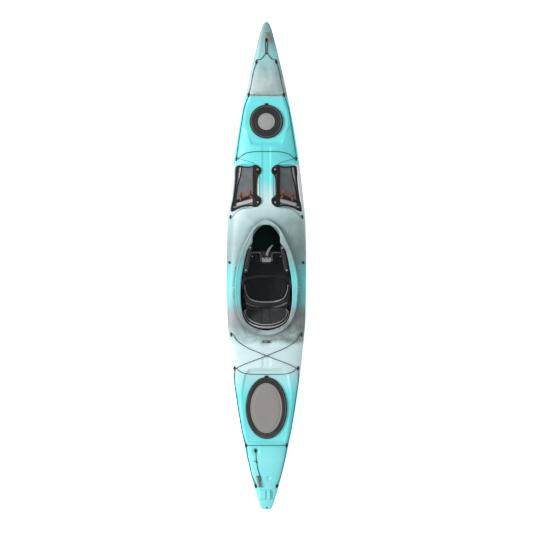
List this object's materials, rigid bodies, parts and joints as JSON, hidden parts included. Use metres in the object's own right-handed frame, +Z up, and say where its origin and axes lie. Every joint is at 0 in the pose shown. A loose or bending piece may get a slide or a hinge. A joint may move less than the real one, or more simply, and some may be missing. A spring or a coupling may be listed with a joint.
{
  "type": "sea kayak",
  "caption": "Sea kayak with a closed deck, a keyhole cockpit with seat, backrest and foot braces, two hatches, deck pockets, deck lines and carry toggles.",
  "frame": {"origin": "flat of the keel under mid-length, on the ground plane", "axes": "+Y towards the bow, +X to the paddler's right, +Z up"},
  "size_m": [0.6218, 3.81, 0.374],
  "materials": {
    "shell_plastic": "satin moulded polyethylene, aqua fading to pale grey round the cockpit and the bow",
    "bulkhead_foam": "closed cell foam",
    "hatch_rubber": "matte moulded rubber",
    "hatch_panel": "matte, fine grain",
    "black_plastic": "satin moulded plastic",
    "grey_plastic": "satin moulded plastic",
    "seat_fabric": "woven cover with light piping",
    "tab_rubber": "matte",
    "grey_webbing": "woven webbing",
    "rail_metal": "anodised",
    "line_cord": "braided cord",
    "orange_cord": "braided shock cord",
    "mesh_fabric": "open knitted mesh"
  },
  "bodies": {
    "shell": {"hull": "shell_plastic", "deck": "shell_plastic", "bow_bulkhead": "bulkhead_foam", "stern_bulkhead": "bulkhead_foam", "seat_base": "black_plastic", "pocket_edge_left": "black_plastic", "pocket_edge_right": "black_plastic", "bow_line_eye_left": "black_plastic", "bow_line_eye_right": "black_plastic", "bow_cross_eye_left": "black_plastic", "bow_cross_eye_right": "black_plastic", "deck_bungee_eye_left": "black_plastic", "deck_bungee_eye_right": "black_plastic", "pocket_eye_left": "black_plastic", "pocket_eye_right": "black_plastic", "side_eye_left": "black_plastic", "side_eye_right": "black_plastic", "rear_bungee_eye_left": "black_plastic", "rear_bungee_eye_right": "black_plastic", "rear_line_eye_left": "black_plastic", "rear_line_eye_right": "black_plastic", "stern_cross_eye_left": "black_plastic", "stern_cross_eye_right": "black_plastic", "stern_line_eye_left": "black_plastic", "stern_line_eye_right": "black_plastic", "bow_toggle_eye": "black_plastic", "stern_toggle_eye": "black_plastic", "lock_bar": "grey_plastic", "cord_lock_left": "grey_plastic", "cord_lock_right": "grey_plastic", "seat_cushion": "seat_fabric", "pocket_strap_left": "grey_webbing", "pocket_strap_right": "grey_webbing", "foot_rail_left": "rail_metal", "foot_rail_right": "rail_metal", "front_deck_line": "line_cord", "front_bungee": "line_cord", "rear_bungee": "line_cord", "rear_deck_line": "line_cord", "pocket_bungee_left": "orange_cord", "pocket_bungee_right": "orange_cord", "pocket_mesh_left": "mesh_fabric", "pocket_mesh_right": "mesh_fabric"},
    "bow_hatch": {"bow_hatch_cover": "hatch_rubber", "bow_hatch_panel": "hatch_panel"},
    "stern_hatch": {"stern_hatch_cover": "hatch_rubber", "stern_hatch_panel": "hatch_panel"},
    "leg_lift": {"leg_lift_cushion": "seat_fabric", "leg_lift_tab": "tab_rubber", "leg_lift_strap": "grey_webbing"},
    "backrest": {"backrest_frame": "grey_plastic", "backrest_pad": "seat_fabric"},
    "brace_left": {"thigh_brace_left": "black_plastic"},
    "brace_right": {"thigh_brace_right": "black_plastic"},
    "pedal_left": {"foot_pedal_left": "black_plastic"},
    "pedal_right": {"foot_pedal_right": "black_plastic"},
    "bow_handle": {"bow_toggle": "grey_plastic", "bow_toggle_cord": "line_cord"},
    "stern_handle": {"stern_toggle": "grey_plastic", "stern_toggle_cord": "line_cord"}
  },
  "joints": [
    {"name": "bow_hatch_lift", "type": "slide", "parent": "shell", "child": "bow_hatch", "axis": [0, 0, 1], "range_m": [0, 0.12]},
    {"name": "stern_hatch_lift", "type": "slide", "parent": "shell", "child": "stern_hatch", "axis": [0, 0, 1], "range_m": [0, 0.12]},
    {"name": "leg_lift_hinge", "type": "hinge", "parent": "shell", "child": "leg_lift", "pos_m": [0, -0.102, 0.0935], "axis": [1, 0, 0], "range_deg": [0, 18]},
    {"name": "backrest_fold", "type": "hinge", "parent": "shell", "child": "backrest", "pos_m": [0, -0.316, 0.096], "axis": [-1, 0, 0], "range_deg": [0, 60]},
    {"name": "thigh_brace_swing_left", "type": "hinge", "parent": "shell", "child": "brace_left", "pos_m": [-0.1249, 0.1476, 0.34372], "axis": [0, 0.0776, -0.997], "range_deg": [0, 8]},
    {"name": "thigh_brace_swing_right", "type": "hinge", "parent": "shell", "child": "brace_right", "pos_m": [0.1249, 0.1476, 0.34372], "axis": [0, -0.0776, 0.997], "range_deg": [0, 8]},
    {"name": "foot_pedal_slide_left", "type": "slide", "parent": "shell", "child": "pedal_left", "axis": [0.1087, 0.9941, 0], "range_m": [-0.15, 0.15]},
    {"name": "foot_pedal_slide_right", "type": "slide", "parent": "shell", "child": "pedal_right", "axis": [-0.1087, 0.9941, 0], "range_m": [-0.15, 0.15]},
    {"name": "bow_toggle_lift", "type": "hinge", "parent": "shell", "child": "bow_handle", "pos_m": [0, 1.76964, 0.34866], "axis": [0.5548, -0.832, 0], "range_deg": [0, 90]},
    {"name": "stern_toggle_lift", "type": "hinge", "parent": "shell", "child": "stern_handle", "pos_m": [-0.08529, -1.44977, 0.29278], "axis": [-1, 0, 0], "range_deg": [0, 90]}
  ]
}
